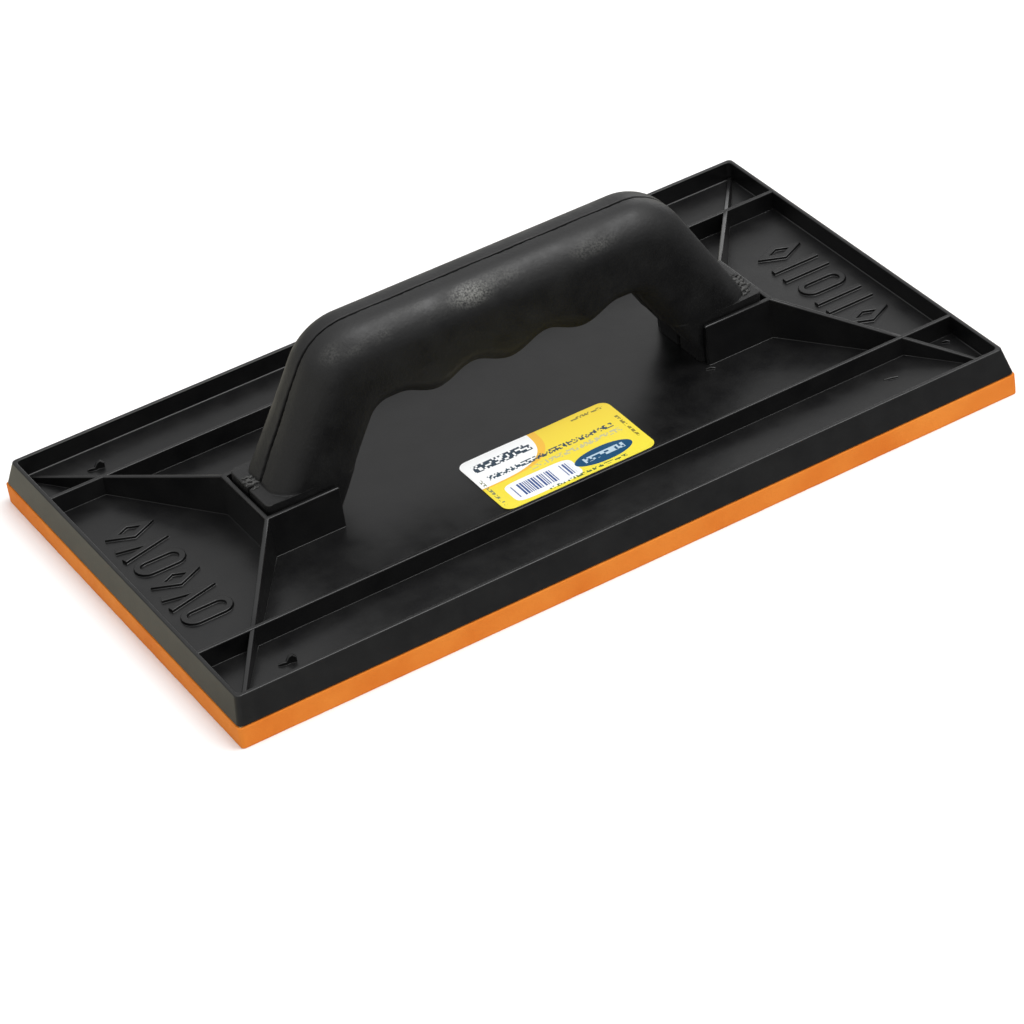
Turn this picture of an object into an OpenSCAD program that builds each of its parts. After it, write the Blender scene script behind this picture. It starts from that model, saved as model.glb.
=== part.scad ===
// Plastering float: a ribbed plastic tray on a foam pad, with a hollow D handle in two half shells.
// Millimetres. Origin at the middle of the working face, +X along the tray, +Z up through the handle.

/* [Working face] */
// Length of the foam pad
pad_l = 260; // [220:1:320]
// Width of the foam pad
pad_w = 150; // [140:1:200]
// Thickness of the foam pad
pad_t = 6.8; // [3:0.2:14]
// Radius of the pad's upright corners
pad_corner_r = 1.2; // [0.5:0.1:6]
// Thickness of the adhesive film under the tray
film_t = 0.2; // [0.1:0.05:0.6]
// How far the film stops short of the tray's edge
film_inset = 0.5; // [0:0.1:4]

/* [Tray] */
// How far the tray's foot stands inside the pad's edge
tray_inset = 0.3; // [0:0.1:3]
// Height of the rim above the pad
rim_h = 8.1; // [5:0.1:14]
// Thickness of the rim at its top
rim_t = 1.25; // [1:0.05:3]
// Lean of the rim's outer face at the short ends
rim_lean_x = 1.9; // [0:0.1:4]
// Lean of the rim's outer face along the long sides
rim_lean_y = 2.8; // [0:0.1:4]
// Radius of the tray's upright corners
tray_corner_r = 1.6; // [0.5:0.1:6]
// Thickness of the tray's floor
floor_t = 1.85; // [1.2:0.05:4]

/* [Ribs] */
// Distance between the middles of the two long ribs
long_rib_gap = 94; // [60:1:110]
// Thickness of the long ribs
long_rib_t = 1.4; // [1:0.1:3]
// Thickness of the four diagonal ribs
diagonal_rib_t = 1.45; // [1:0.05:3]
// Height above the floor at which a diagonal rib ends in its corner
diagonal_end_h = 1; // [0:0.1:3]
// How far from the rim's inner corner a diagonal rib ends, along X and along Y
diagonal_end_gap = 0.8; // [0:0.1:6]

/* [Foot sockets] */
// Distance from the middle of the tray to the outer face of a socket
socket_out_x = 86.4; // [76:0.2:100]
// Length of a socket's side walls
socket_l = 24; // [18:0.5:30]
// Thickness of a socket's walls
socket_wall = 1.5; // [1:0.1:3]
// Height of a socket above the tray's floor
socket_h = 13.55; // [8:0.1:20]
// Gap between a socket and the foot in it
socket_gap = 0.6; // [0.3:0.05:1]

/* [Handle] */
// Height of the top of the grip above the working face
handle_top_z = 66.1; // [58:0.1:90]
// Width of the handle across the tray
handle_w = 24.2; // [20:0.2:34]
// Wall of the handle's half shells
shell_wall = 2.2; // [1.4:0.1:3]
// Slope of the legs' outer faces: mm outwards for each mm down
leg_slope_out = 0.544; // [0.3:0.01:0.8]
// Slope of the legs' inner faces: mm outwards for each mm down
leg_slope_in = 0.58; // [0.3:0.01:0.8]
// Depth of the grip from its top to the deepest finger scallop
grip_depth = 26.1; // [20:0.1:34]
// Radius of the handle's outer shoulders, seen from the side
shoulder_r = 19.5; // [10:0.5:24]
// Radius inside the handle, where a leg meets the grip
inner_corner_r = 7; // [3:0.5:12]
// Distance between two finger scallops
scallop_pitch = 24.6; // [18:0.1:26]
// Height of the bumps between the scallops
scallop_h = 3.8; // [0:0.1:6]
// Rounding along the handle's top edges
top_edge_r = 9.8; // [4:0.1:11]
// Rounding along the handle's lower edges
low_edge_r = 6; // [3:0.1:8]
// Rounding of the upright corners of the feet
foot_corner_r = 2.5; // [2.4:0.1:4]
// Height of a foot's shoulder above its socket
shoulder_h = 2; // [0.5:0.1:4]
// Width of the shoulder between leg and foot
shoulder_w = 3.9; // [2:0.1:6]
// Thickness of a leg where it meets its foot, along X
leg_foot_l = 27.2; // [20:0.1:34]
// How far a foot's inner face stands out past its socket
foot_nose = 1.4; // [0:0.1:3]
// Gap under a foot, and round the screw seats in it
foot_gap = 0.2; // [0.1:0.05:0.5]

/* [Pins and screws] */
// Diameter of the locating pins between the half shells
pin_d = 3; // [2:0.1:4]
// Length of the locating pins
pin_l = 4; // [3:0.5:6]
// Distance between the locating pins
pin_gap = 34; // [24:1:40]
// Radial clearance round a pin in its hole
pin_clear = 0.1; // [0.05:0.05:0.3]
// Diameter of the posts that carry the pins
post_d = 6.5; // [5:0.1:8]
// Outer diameter of a screw's thread
screw_d = 3.5; // [3:0.1:4]
// Diameter of the hole that the screw cuts its thread in
pilot_d = 3; // [2.4:0.1:3.4]
// Length of a screw under its head
screw_l = 13; // [10:0.5:18]
// Diameter of a screw's head
head_d = 6.8; // [6:0.1:8]
// Height of a screw's head
head_h = 2.2; // [1.6:0.1:3]
// Radial gap round a screw's head and shank in the tray
screw_gap = 0.3; // [0.2:0.05:0.6]
// Diameter of a screw boss
boss_d = 8; // [7:0.1:9]
// Distance of a screw from the handle's seam
screw_y = 6; // [5.6:0.1:6.5]
// Distance of a screw from the outer face of its foot
screw_in = 10; // [8:0.5:12]
// Floor left under a screw's head
seat_t = 1.9; // [1.2:0.1:3]
// How far a screw's head lies inside the tray's underside
head_sink = 0.3; // [0.1:0.05:0.5]
// Depth of the cross slot in a screw's head
slot_depth = 1.2; // [0.6:0.1:1.5]

/* [Label and marks] */
// Length of the label
label_l = 51.4; // [30:1:70]
// Width of the label
label_w = 29.2; // [15:0.2:31]
// Thickness of the label
label_t = 0.12; // [0.08:0.02:0.3]
// Corner radius of the label
label_r = 3; // [1:0.5:6]
// Middle of the label along the tray
label_x = 2.6; // [-20:0.2:20]
// Middle of the label across the tray
label_y = -24.2; // [-26:0.2:-22]
// Width of the strokes of the raised marks
mark_stroke = 2; // [1:0.1:2.4]
// Height of the raised marks
mark_h = 0.9; // [0.3:0.1:1.5]
// Length of one raised mark, along X
mark_l = 16; // [10:0.5:17]
// Width of one raised mark, along Y
mark_w = 8; // [6:0.5:9]
// Distance between the marks at the -X end
mark_pitch_a = 9.8; // [9:0.1:11]
// Distance between the marks at the +X end
mark_pitch_b = 11.6; // [9:0.1:13]
// Distance from the middle of the tray to the middle of the marks
mark_x = 113; // [110:0.5:115]
// Diameter of the two gate stubs left on the floor
stub_d = 3.2; // [1.5:0.1:4]
// Height of the gate stubs
stub_h = 2; // [0.4:0.1:2.4]
// Distance of the gate stubs from the middle, along X
stub_x = 106; // [90:1:108]
// Distance of the gate stubs from the middle, along Y
stub_y = 60; // [55:1:66]

/* [Hidden] */
plastic = "#1c1c1e";
foam = "#e98a2b";
steel = "#b9b7ae";
paper = "#f2d84a";
$fn = 48;
eps = 0.01;

tray_z = pad_t + film_t;
floor_z = tray_z + floor_t;
rim_z = tray_z + rim_h;
socket_z = floor_z + socket_h;
tray_l = pad_l - 2 * tray_inset;
tray_w = pad_w - 2 * tray_inset;
rim_l = tray_l - 2 * rim_lean_x;
rim_w = tray_w - 2 * rim_lean_y;
well_l = rim_l - 2 * rim_t;
well_w = rim_w - 2 * rim_t;

// The foot fills its socket, less the gap; its nose stands past the socket's open inner end.
// It bears on the tray only through its screw bosses, which stand on the screw seats.
handle_hw = handle_w / 2;
socket_w = handle_w + 2 * (socket_gap + socket_wall);
socket_in_x = socket_out_x - socket_l;
foot_out_x = socket_out_x - socket_wall - socket_gap;
foot_in_x = socket_in_x - foot_nose;
foot_z = floor_z + foot_gap;
shoulder_z = socket_z + shoulder_h;
leg_out_x = foot_out_x - shoulder_w;
leg_in_x = leg_out_x - leg_foot_l;

// Side view of the handle, right half: outer and inner outlines, each a leg line, an arc and a level run.
grip_low_z = handle_top_z - grip_depth;
out_corner = [leg_out_x - leg_slope_out * (handle_top_z - shoulder_z), handle_top_z];
in_corner = [leg_in_x - leg_slope_in * (grip_low_z - shoulder_z), grip_low_z];
out_turn = atan(1 / leg_slope_out);
in_turn = atan(1 / leg_slope_in);
leg_steps = 5;
arc_steps = 9;
grip_steps = 22;

// Arc of radius r under a level line and a leg line that meet at corner; k runs 0 (leg) to 1 (level).
function arc_point(corner, turn, r, k) =
    let (a = turn * (1 - k))
    [corner[0] - r * tan(turn / 2) + r * sin(a), corner[1] - r + r * cos(a)];
// Height of the grip's underside at x, before the scallops' level ends
function scallop_z(x) =
    grip_low_z - scallop_h / 2 * (1 - cos(360 * (x - scallop_pitch / 2) / scallop_pitch));
function under_z(x) = abs(x) > 1.5 * scallop_pitch ? grip_low_z : scallop_z(x);

function mix(a, b, k) = a + (b - a) * k;
// One station of the handle: [outer point, inner point, top edge radius, lower edge radius]
foot_stations = [
    [[foot_out_x, foot_z], [foot_in_x, foot_z], foot_corner_r, foot_corner_r],
    [[foot_out_x, foot_z + 4], [foot_in_x, foot_z + 4], foot_corner_r, foot_corner_r],
    [[foot_out_x, socket_z - 4], [mix(foot_in_x, leg_in_x, 0.45), socket_z - 4],
        foot_corner_r, foot_corner_r + 1],
    [[foot_out_x, shoulder_z - 0.9], [mix(foot_in_x, leg_in_x, 0.88), shoulder_z - 1.2],
        foot_corner_r, foot_corner_r + 2],
    [[foot_out_x - 0.5, shoulder_z - 0.2], [mix(foot_in_x, leg_in_x, 0.93), shoulder_z - 0.7],
        foot_corner_r, foot_corner_r + 2.2]];
leg_stations = [for (i = [0:leg_steps - 1])
    let (k = i / leg_steps,
         out_end = arc_point(out_corner, out_turn, shoulder_r, 0),
         in_end = arc_point(in_corner, in_turn, inner_corner_r, 0))
    [mix([leg_out_x, shoulder_z], out_end, k), mix([leg_in_x, shoulder_z], in_end, k),
        mix(top_edge_r - 2.5, top_edge_r, k), low_edge_r]];
arc_stations = [for (i = [0:arc_steps - 1])
    let (k = i / arc_steps)
    [arc_point(out_corner, out_turn, shoulder_r, k), arc_point(in_corner, in_turn, inner_corner_r, k),
        top_edge_r, low_edge_r]];
grip_stations = [for (i = [0:grip_steps - 1])
    let (k = i / grip_steps,
         out_x = arc_point(out_corner, out_turn, shoulder_r, 1)[0],
         in_x = arc_point(in_corner, in_turn, inner_corner_r, 1)[0])
    [[out_x * (1 - k), handle_top_z], [in_x * (1 - k), under_z(in_x * (1 - k))], top_edge_r, low_edge_r]];
right_stations = concat(foot_stations, leg_stations, arc_stations, grip_stations);
middle_station = [[0, handle_top_z], [0, under_z(0)], top_edge_r, low_edge_r];
function flip_x(s) = [[-s[0][0], s[0][1]], [-s[1][0], s[1][1]], s[2], s[3]];
last = len(right_stations) - 1;
stations = concat(right_stations, [middle_station],
    [for (i = [0:last]) flip_x(right_stations[last - i])]);

// Half section from seam to seam: [distance from the seam, distance down from the outer point]
arc_facets = 5;
function half_section(hw, depth, r_top, r_low) = concat(
    [[0, 0]],
    [for (i = [0:arc_facets]) let (a = 90 * i / arc_facets)
        [hw - r_top + r_top * sin(a), r_top - r_top * cos(a)]],
    [for (i = [0:arc_facets]) let (a = 90 * i / arc_facets)
        [hw - r_low + r_low * cos(a), depth - r_low + r_low * sin(a)]],
    [[0, depth]]);
function place(s, p) =
    let (down = s[1] - s[0], d = down / norm(down), at = s[0] + d * p[1])
    [at[0], p[0], at[1]];
// Closed ring of one station: the outside from top seam to bottom seam, then back along the inside
function station_ring(s) =
    let (depth = norm(s[1] - s[0]), outside = half_section(handle_hw, depth, s[2], s[3]),
         hollow = half_section(handle_hw - shell_wall, depth - 2 * shell_wall,
             max(0.4, s[2] - shell_wall), max(0.4, s[3] - shell_wall)),
         n = len(outside))
    concat([for (p = outside) place(s, p)],
           [for (i = [0:n - 1]) let (p = hollow[n - 1 - i]) place(s, [p[0], p[1] + shell_wall])]);

module handle_half() {
    rings = [for (s = stations) station_ring(s)];
    ring_n = len(rings[0]);
    half_n = ring_n / 2;
    rows = len(rings);
    points = [for (ring = rings) for (p = ring) p];
    sides = [for (i = [0:rows - 2]) for (j = [0:ring_n - 1])
        let (a = i * ring_n + j, b = i * ring_n + (j + 1) % ring_n, c = b + ring_n, d = a + ring_n)
        each [[a, c, b], [a, d, c]]];
    caps = [for (j = [0:half_n - 2]) for (end = [0, 1])
        let (base = end * (rows - 1) * ring_n,
             a = base + j, b = base + j + 1, c = base + ring_n - 2 - j, d = base + ring_n - 1 - j)
        each (end == 0 ? [[a, b, c], [a, c, d]] : [[a, c, b], [a, d, c]])];
    polyhedron(points = points, faces = concat(sides, caps), convexity = 12);
}

// Where the foot screws stand: [x, y] of each, one in each quarter
screw_x = foot_out_x - screw_in;
screw_spots = [[-screw_x, -screw_y], [screw_x, -screw_y], [-screw_x, screw_y], [screw_x, screw_y]];
head_z = tray_z + head_sink;
seat_top_z = head_z + head_h + seat_t;
boss_z = seat_top_z;
post_z = (grip_low_z + handle_top_z) / 2;
post_spots = [-pin_gap, 0, pin_gap];

module at_screws(side) {
    for (spot = screw_spots)
        if (spot[1] * side > 0) translate([spot[0], spot[1], 0]) children();
}

module rounded_rect(l, w, r) {
    hull()
        for (x = [-1, 1], y = [-1, 1])
            translate([x * (l / 2 - r), y * (w / 2 - r)]) circle(r = r, $fn = 24);
}

// Half shell on the +Y side, with its screw bosses and the posts that carry the pins
module shell_body() {
    difference() {
        union() {
            difference() {
                handle_half();
                at_screws(1) translate([0, 0, foot_z - 1])
                    cylinder(d = boss_d + 2 * foot_gap, h = boss_z - foot_z + 1);
            }
            at_screws(1) translate([0, 0, boss_z]) {
                cylinder(d = boss_d, h = screw_l + 1);
                translate([-shell_wall / 2, 0, 0])
                    cube([shell_wall, handle_hw - screw_y - shell_wall / 2, screw_l + 1]);
            }
            for (x = post_spots) translate([x, 0, post_z]) rotate([-90, 0, 0])
                cylinder(d = post_d, h = handle_hw - shell_wall / 2);
        }
        at_screws(1) translate([0, 0, boss_z - 1]) cylinder(d = pilot_d, h = screw_l + 1);
    }
}

module handle_shell_far() {
    color(plastic) difference() {
        shell_body();
        for (x = post_spots) translate([x, -1, post_z]) rotate([-90, 0, 0])
            cylinder(d = pin_d + 2 * pin_clear, h = pin_l + 1.5);
    }
}

module handle_shell_near() {
    color(plastic) union() {
        mirror([0, 1, 0]) shell_body();
        for (x = post_spots) translate([x, -2, post_z]) rotate([-90, 0, 0])
            cylinder(d = pin_d, h = pin_l + 2);
    }
}

// Rim and floor in one: a leaning outer wall, an upright inner wall
module tray_pan() {
    difference() {
        hull() {
            translate([0, 0, tray_z]) linear_extrude(eps) rounded_rect(tray_l, tray_w, tray_corner_r);
            translate([0, 0, rim_z - eps]) linear_extrude(eps) rounded_rect(rim_l, rim_w, tray_corner_r);
        }
        translate([-well_l / 2, -well_w / 2, floor_z]) cube([well_l, well_w, rim_h]);
    }
}

module long_ribs() {
    for (side = [-1, 1])
        translate([-well_l / 2 - rim_t / 2, side * long_rib_gap / 2 - long_rib_t / 2, floor_z - eps])
            cube([well_l + rim_t, long_rib_t, rim_z - floor_z]);
}

module socket() {
    difference() {
        translate([socket_in_x, -socket_w / 2, floor_z - eps]) cube([socket_l, socket_w, socket_h + eps]);
        translate([socket_in_x - 1, -socket_w / 2 + socket_wall, floor_z - 1])
            cube([socket_l - socket_wall + 1, socket_w - 2 * socket_wall, socket_h + 2]);
    }
}

// From the socket's top corner down to the rim's inner corner
module diagonal_rib() {
    from = [socket_out_x - diagonal_rib_t / 2, socket_w / 2 - diagonal_rib_t / 2];
    to = [well_l / 2 - diagonal_end_gap, well_w / 2 - diagonal_end_gap];
    run = norm(to - from);
    translate([from[0], from[1], 0]) rotate([0, 0, atan2(to[1] - from[1], to[0] - from[0])])
        rotate([90, 0, 0]) translate([0, 0, -diagonal_rib_t / 2]) linear_extrude(diagonal_rib_t)
            polygon([[0, floor_z - eps], [run, floor_z - eps], [run, floor_z + diagonal_end_h],
                [0, socket_z]]);
}

// Outline of one raised mark: kind 0 is a long ring, 1 a chevron, 2 a lozenge, 3 a pair of bars
module mark(kind) {
    if (kind == 0) ring_mark();
    if (kind == 1) chevron_mark();
    if (kind == 2) lozenge_mark();
    if (kind == 3) bars_mark();
}
module slot_shape(l, w) {
    square([l - w, w], center = true);
    for (end = [-1, 1]) translate([end * (l - w) / 2, 0]) circle(d = w);
}
module ring_mark() {
    difference() {
        slot_shape(mark_l, mark_w);
        slot_shape(mark_l - 2 * mark_stroke, mark_w - 2 * mark_stroke);
    }
}
module chevron_mark() {
    end = mark_l / 2;
    side = mark_w / 2;
    cut = mark_stroke * norm([mark_l, side]) / mark_l;
    polygon([[-end, -side], [end, 0], [-end, side], [-end, side - cut], [end - cut * mark_l / side, 0],
        [-end, cut - side]]);
}
module lozenge_mark() {
    end = mark_l / 2;
    side = mark_w / 2;
    inner = 1 - mark_stroke * norm([end, side]) / (end * side);
    difference() {
        polygon([[-end, 0], [0, -side], [end, 0], [0, side]]);
        polygon([[-end, 0], [0, -side], [end, 0], [0, side]] * inner);
    }
}
module bars_mark() {
    for (side = [-1, 1]) translate([0, side * (mark_w - mark_stroke) / 2])
        square([mark_l, mark_stroke], center = true);
}
module marks(kinds, pitch) {
    for (i = [0:len(kinds) - 1])
        translate([0, (i - (len(kinds) - 1) / 2) * pitch, floor_z - eps]) linear_extrude(mark_h + eps)
            mark(kinds[i]);
}

module base_tray() {
    color(plastic) difference() {
        union() {
            tray_pan();
            long_ribs();
            for (end = [0, 1]) mirror([end, 0, 0]) {
                socket();
                diagonal_rib();
                mirror([0, 1, 0]) diagonal_rib();
            }
            translate([-mark_x, 0, 0]) marks([0, 1, 2, 0, 1, 2], mark_pitch_a);
            translate([mark_x, 0, 0]) marks([2, 3, 0, 3, 2], mark_pitch_b);
            for (side = [-1, 1]) translate([-stub_x, side * stub_y, floor_z - eps])
                cylinder(d = stub_d, h = stub_h + eps);
            for (spot = screw_spots) translate([spot[0], spot[1], floor_z - eps])
                cylinder(d = boss_d, h = seat_top_z - floor_z + eps);
        }
        for (spot = screw_spots) translate([spot[0], spot[1], 0]) {
            translate([0, 0, tray_z - 1])
                cylinder(d = head_d + 2 * screw_gap, h = head_z - tray_z + head_h + 1);
            cylinder(d = screw_d + 2 * screw_gap, h = seat_top_z + 1);
        }
    }
}

// The thread: plain ridges at this pitch, the first one this far above the seat
thread_pitch = 1.3;
first_ridge = 1.2;
slot_l = 4;
slot_w = 0.9;
// Pan head, shank and thread ridges, head at the bottom
module foot_screw(i) {
    ridges = floor((screw_l - seat_t) / thread_pitch) - 1;
    color(steel) translate([screw_spots[i][0], screw_spots[i][1], head_z]) difference() {
        union() {
            rotate_extrude() polygon([[0, 0], [head_d / 2 - 0.7, 0], [head_d / 2, 0.7], [head_d / 2, head_h],
                [pilot_d / 2, head_h], [pilot_d / 2, head_h + screw_l - 1.5], [0, head_h + screw_l]]);
            for (k = [0:ridges - 1]) translate([0, 0, head_h + seat_t + first_ridge + k * thread_pitch])
                rotate_extrude()
                    polygon([[0, -0.5], [pilot_d / 2, -0.5], [screw_d / 2, 0], [pilot_d / 2, 0.5], [0, 0.5]]);
        }
        for (turn = [0, 90]) rotate([0, 0, turn]) translate([-slot_l / 2, -slot_w / 2, -1])
            cube([slot_l, slot_w, slot_depth + 1]);
    }
}

module pad_adhesive() {
    color(paper) translate([0, 0, pad_t]) linear_extrude(film_t)
        square([tray_l - 2 * film_inset, tray_w - 2 * film_inset], center = true);
}

module foam_pad() {
    color(foam) linear_extrude(pad_t) rounded_rect(pad_l, pad_w, pad_corner_r);
}

module label() {
    color(paper) translate([label_x, label_y, floor_z]) linear_extrude(label_t)
        rounded_rect(label_l, label_w, label_r);
}

base_tray();
handle_shell_near();
handle_shell_far();
foot_screw(0);  // foot_screw_1
foot_screw(1);  // foot_screw_2
foot_screw(2);  // foot_screw_3
foot_screw(3);  // foot_screw_4
pad_adhesive();
foam_pad();
label();
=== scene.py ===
import bmesh
import bpy
import numpy as np
from mathutils import Matrix, Vector


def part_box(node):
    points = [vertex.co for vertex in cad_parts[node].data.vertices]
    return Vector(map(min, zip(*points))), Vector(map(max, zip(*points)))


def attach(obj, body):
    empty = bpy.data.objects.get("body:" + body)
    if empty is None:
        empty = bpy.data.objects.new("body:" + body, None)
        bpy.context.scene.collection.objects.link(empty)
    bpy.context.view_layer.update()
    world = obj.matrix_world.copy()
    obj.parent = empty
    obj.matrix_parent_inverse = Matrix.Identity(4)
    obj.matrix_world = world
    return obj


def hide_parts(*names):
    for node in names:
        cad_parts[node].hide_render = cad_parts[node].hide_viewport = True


# A plastering float: a ribbed tray and a hollow D handle in black polypropylene, on an orange foam pad.
# Sizes are in millimetres and are scaled to metres when a mesh is made; the studio's are in metres.
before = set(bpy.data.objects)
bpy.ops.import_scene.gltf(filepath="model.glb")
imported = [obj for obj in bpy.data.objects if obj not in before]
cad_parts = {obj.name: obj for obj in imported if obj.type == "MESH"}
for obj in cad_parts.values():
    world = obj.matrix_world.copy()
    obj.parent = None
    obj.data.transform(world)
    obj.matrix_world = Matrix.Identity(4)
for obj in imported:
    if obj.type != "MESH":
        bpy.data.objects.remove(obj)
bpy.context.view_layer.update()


# ---------------------------------------------------------------------------------------------------
# FOAM PAD. The working face: closed-cell EVA foam sheet, die-cut to the plate's size and glued on.
# The cut leaves crisp edges, slightly wavy sides and a dull, fine-celled skin.
# ---------------------------------------------------------------------------------------------------
MM = 0.001


def node_box(name):
    """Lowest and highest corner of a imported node, in millimetres."""
    low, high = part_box(name)
    return np.array(low) / MM, np.array(high) / MM


def linear(hex_colour):
    """sRGB hex colour to the linear colour a shader wants."""
    c = np.array([int(hex_colour[i:i + 2], 16) for i in (1, 3, 5)]) / 255
    return (*np.where(c <= 0.04045, c / 12.92, ((c + 0.055) / 1.055) ** 2.4), 1.0)


def add_node(tree, kind, inputs=None, **settings):
    """A new node: settings are its properties; inputs are its sockets, each a value or a socket to link."""
    new = tree.nodes.new(kind)
    for key, value in settings.items():
        setattr(new, key, value)
    for key, value in (inputs or {}).items():
        if isinstance(value, bpy.types.NodeSocket):
            tree.links.new(value, new.inputs[key])
        else:
            new.inputs[key].default_value = value
    return new


def new_material(name):
    """An empty material: its tree, its shader and the object's coordinates."""
    material = bpy.data.materials.new(name)
    material.use_nodes = True
    tree = material.node_tree
    tree.nodes.clear()
    shader = add_node(tree, "ShaderNodeBsdfPrincipled")
    add_node(tree, "ShaderNodeOutputMaterial", {"Surface": shader.outputs[0]})
    place = add_node(tree, "ShaderNodeTexCoord").outputs["Object"]
    return material, tree, shader, place


def closed_skin(name, rings, ring_ends_meet=False):
    """Closed skin over rings[row, point, xyz]: a four-cornered face between every two neighbouring rings and
    points, and a flat face over the first and the last ring, unless the last ring runs on into the first."""
    rows, count = rings.shape[:2]
    steps = rows if ring_ends_meet else rows - 1
    i, j = np.meshgrid(np.arange(steps), np.arange(count), indexing="ij")
    up, across = (i + 1) % rows, (j + 1) % count
    quads = np.stack([i * count + j, i * count + across, up * count + across, up * count + j], -1)
    faces = quads.reshape(-1, 4).tolist()
    if not ring_ends_meet:
        faces += [list(range(count))[::-1], list(range((rows - 1) * count, rows * count))]
    points = rings.reshape(-1, 3) * MM
    corner = points[quads.reshape(-1, 4)]
    centre = points.mean(0)
    a, b, c, d = (corner[:, k] - centre for k in range(4))
    volume = (np.cross(a, b) * c).sum() + (np.cross(a, c) * d).sum()
    if volume < 0:
        faces = [face[::-1] for face in faces]
    mesh = bpy.data.meshes.new(name)
    mesh.from_pydata(points.tolist(), [], faces)
    piece = bpy.data.objects.new(name, mesh)
    bpy.context.scene.collection.objects.link(piece)
    return piece


def rounded_ring(half_l, half_w, r, z, arc_n, side_n=1):
    """Rounded rectangle, anticlockwise from its right side: four quarter circles of radius r, joined by
    straight sides of side_n steps each."""
    arc = np.linspace(0, np.pi / 2, arc_n + 1)
    flat = []
    for k, (sx, sy) in enumerate([(1, 1), (-1, 1), (-1, -1), (1, -1)]):
        angle = arc + k * np.pi / 2
        centre = np.array([sx * (half_l - r), sy * (half_w - r)])
        flat.append(centre + r * np.stack([np.cos(angle), np.sin(angle)], -1))
    ring = []
    for k, corner in enumerate(flat):
        following = flat[(k + 1) % 4][0]
        share = np.linspace(0, 1, side_n + 1)[1:-1, None]
        ring += [corner, corner[-1] + (following - corner[-1]) * share]
    ring = np.concatenate(ring)
    return np.column_stack([ring, np.full(len(ring), z)])


def soft_shading(piece, sharpest):
    """Smooth faces that meet at less than sharpest degrees, with large flat faces kept flat."""
    piece.data.shade_smooth()
    piece.data.set_sharp_from_angle(angle=np.radians(sharpest))
    weighted = piece.modifiers.new("flat faces stay flat", "WEIGHTED_NORMAL")
    weighted.keep_sharp = True
    weighted.weight = 80


pad_high = node_box("foam_pad")[1]
pad_half_l, pad_half_w = pad_high[0], pad_high[1]
pad_edge_r = 0.3
pad_corner_r = 1.2
cut_wave = 0.09

round_up = np.linspace(0, np.pi / 2, 4)
pad_rows = [(pad_edge_r * (1 - np.sin(a)), pad_edge_r * (1 - np.cos(a))) for a in round_up]
pad_rows += [(0, z) for z in np.linspace(0, pad_high[2], 9)[1:-1]]
pad_rows += [(pad_edge_r * (1 - np.cos(a)), pad_high[2] - pad_edge_r * (1 - np.sin(a))) for a in round_up]


def pad_ring(inset, z):
    """One outline of the pad: the rounded rectangle less inset, drawn in by up to cut_wave along a sum of
    three slow sines."""
    ring = rounded_ring(pad_half_l - inset, pad_half_w - inset, pad_corner_r, z, 6, 170)
    run = ring[:, 0] * 0.9 + ring[:, 1] * 1.3
    wave = np.sin(run * 0.21 + z * 0.5) + 0.7 * np.sin(run * 0.53 + 1.7 - z * 0.9)
    wave += 0.5 * np.sin(run * 1.31 + z)
    most = 1 + 0.7 + 0.5
    inward = cut_wave * (wave[:, None] + most) / (2 * most)
    ring[:, :2] *= 1 - inward / np.array([pad_half_l, pad_half_w])
    return ring


foam_pad = closed_skin("eva_foam_pad", np.array([pad_ring(*row) for row in pad_rows]))
soft_shading(foam_pad, 50)

# EVA foam, knife-cut: matt, evenly orange, with cells of about 0.4 mm; drawn at 0.7 mm so that they show.
foam, tree, shader, place = new_material("eva_foam_orange")
tone = add_node(tree, "ShaderNodeTexNoise", {"Vector": place, "Scale": 1000 / 18, "Detail": 4.0})
colour = add_node(tree, "ShaderNodeValToRGB", {"Fac": tone.outputs["Fac"]})
colour.color_ramp.elements[0].position, colour.color_ramp.elements[0].color = 0.3, linear("#d67420")
colour.color_ramp.elements[1].position, colour.color_ramp.elements[1].color = 0.7, linear("#e28730")
cells = add_node(tree, "ShaderNodeTexVoronoi", {"Vector": place, "Scale": 1000 / 0.7})
pits = add_node(tree, "ShaderNodeBump",
                {"Strength": 0.35, "Distance": 0.15 * MM, "Height": cells.outputs["Distance"]})
tree.links.new(colour.outputs["Color"], shader.inputs["Base Color"])
tree.links.new(pits.outputs["Normal"], shader.inputs["Normal"])
shader.inputs["Roughness"].default_value = 0.85
shader.inputs["Specular IOR Level"].default_value = 0.25
foam_pad.data.materials.append(foam)
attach(foam_pad, "root")
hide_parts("foam_pad")


# ---------------------------------------------------------------------------------------------------
# ADHESIVE FILM. Double-sided tape between the foam and the tray: acrylic adhesive on a pale carrier. Only its
# edge could be seen, in the shadow under the tray's foot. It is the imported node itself.
# ---------------------------------------------------------------------------------------------------
# Acrylic tape: satin and yellowish, with clouds 6 mm across where it has taken up dust.
tape, tree, shader, place = new_material("acrylic_tape")
cloud = add_node(tree, "ShaderNodeTexNoise", {"Vector": place, "Scale": 1000 / 6, "Detail": 3.0})
colour = add_node(tree, "ShaderNodeValToRGB", {"Fac": cloud.outputs["Fac"]})
colour.color_ramp.elements[0].color = linear("#8f8463")
colour.color_ramp.elements[1].color = linear("#c4b88f")
tree.links.new(colour.outputs["Color"], shader.inputs["Base Color"])
shader.inputs["Roughness"].default_value = 0.5
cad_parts["pad_adhesive"].data.materials.clear()
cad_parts["pad_adhesive"].data.materials.append(tape)


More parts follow.
